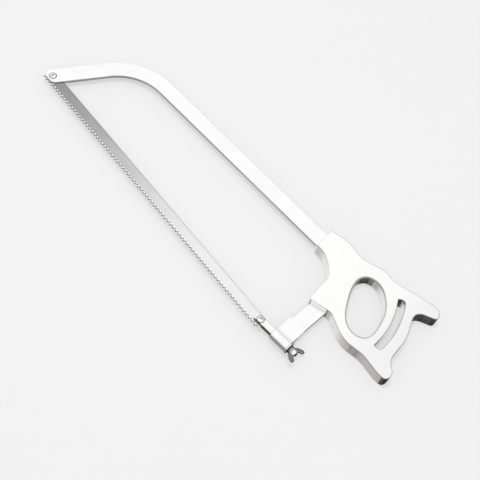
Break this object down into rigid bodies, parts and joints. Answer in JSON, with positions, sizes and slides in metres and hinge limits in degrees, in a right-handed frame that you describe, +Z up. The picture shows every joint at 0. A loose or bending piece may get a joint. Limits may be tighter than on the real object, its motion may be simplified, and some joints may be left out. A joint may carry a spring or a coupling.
{
  "type": "butcher saw",
  "caption": "Bow-frame butcher saw with a flat polished bar, a cast closed handle, a pinned toothed blade and a wing nut that tightens it through a forked rod.",
  "frame": {"origin": "on the surface that the saw lies on, under the middle of its bounding box", "axes": "+X along the blade from the nose to the handle, +Y in the plane of the bow from the teeth to the bow, +Z up, square to the saw's flat side"},
  "size_m": [0.6772, 0.2244, 0.025],
  "materials": {
    "polished_bar": "polished plated steel",
    "cast_handle": "polished casting",
    "blade_steel": "ground along its length",
    "plated_hardware": "bright plating"
  },
  "bodies": {
    "frame": {"frame_bar": "polished_bar", "handle": "cast_handle", "barrel_strap": "polished_bar", "nose_screw": "plated_hardware", "nose_nut": "plated_hardware", "washer": "plated_hardware"},
    "wing_nut": {"wing_nut": "plated_hardware"},
    "tension_carriage": {"tension_rod": "plated_hardware", "blade": "blade_steel", "rear_screw": "plated_hardware", "rear_nut": "plated_hardware"}
  },
  "joints": [
    {"name": "wing_nut_turn", "type": "hinge", "parent": "frame", "child": "wing_nut", "pos_m": [0.16769, -0.10113, 0.0125], "axis": [0.9945, 0.1045, 0], "range_deg": [0, 1530]},
    {"name": "tension_rod_slide", "type": "slide", "parent": "frame", "child": "tension_carriage", "axis": [-0.9945, -0.1045, 0], "range_m": [0, 0.00425]}
  ],
  "couplings": [
    {"joint": "wing_nut_turn", "follows": "tension_rod_slide", "rad_per_m": 6283.2}
  ]
}
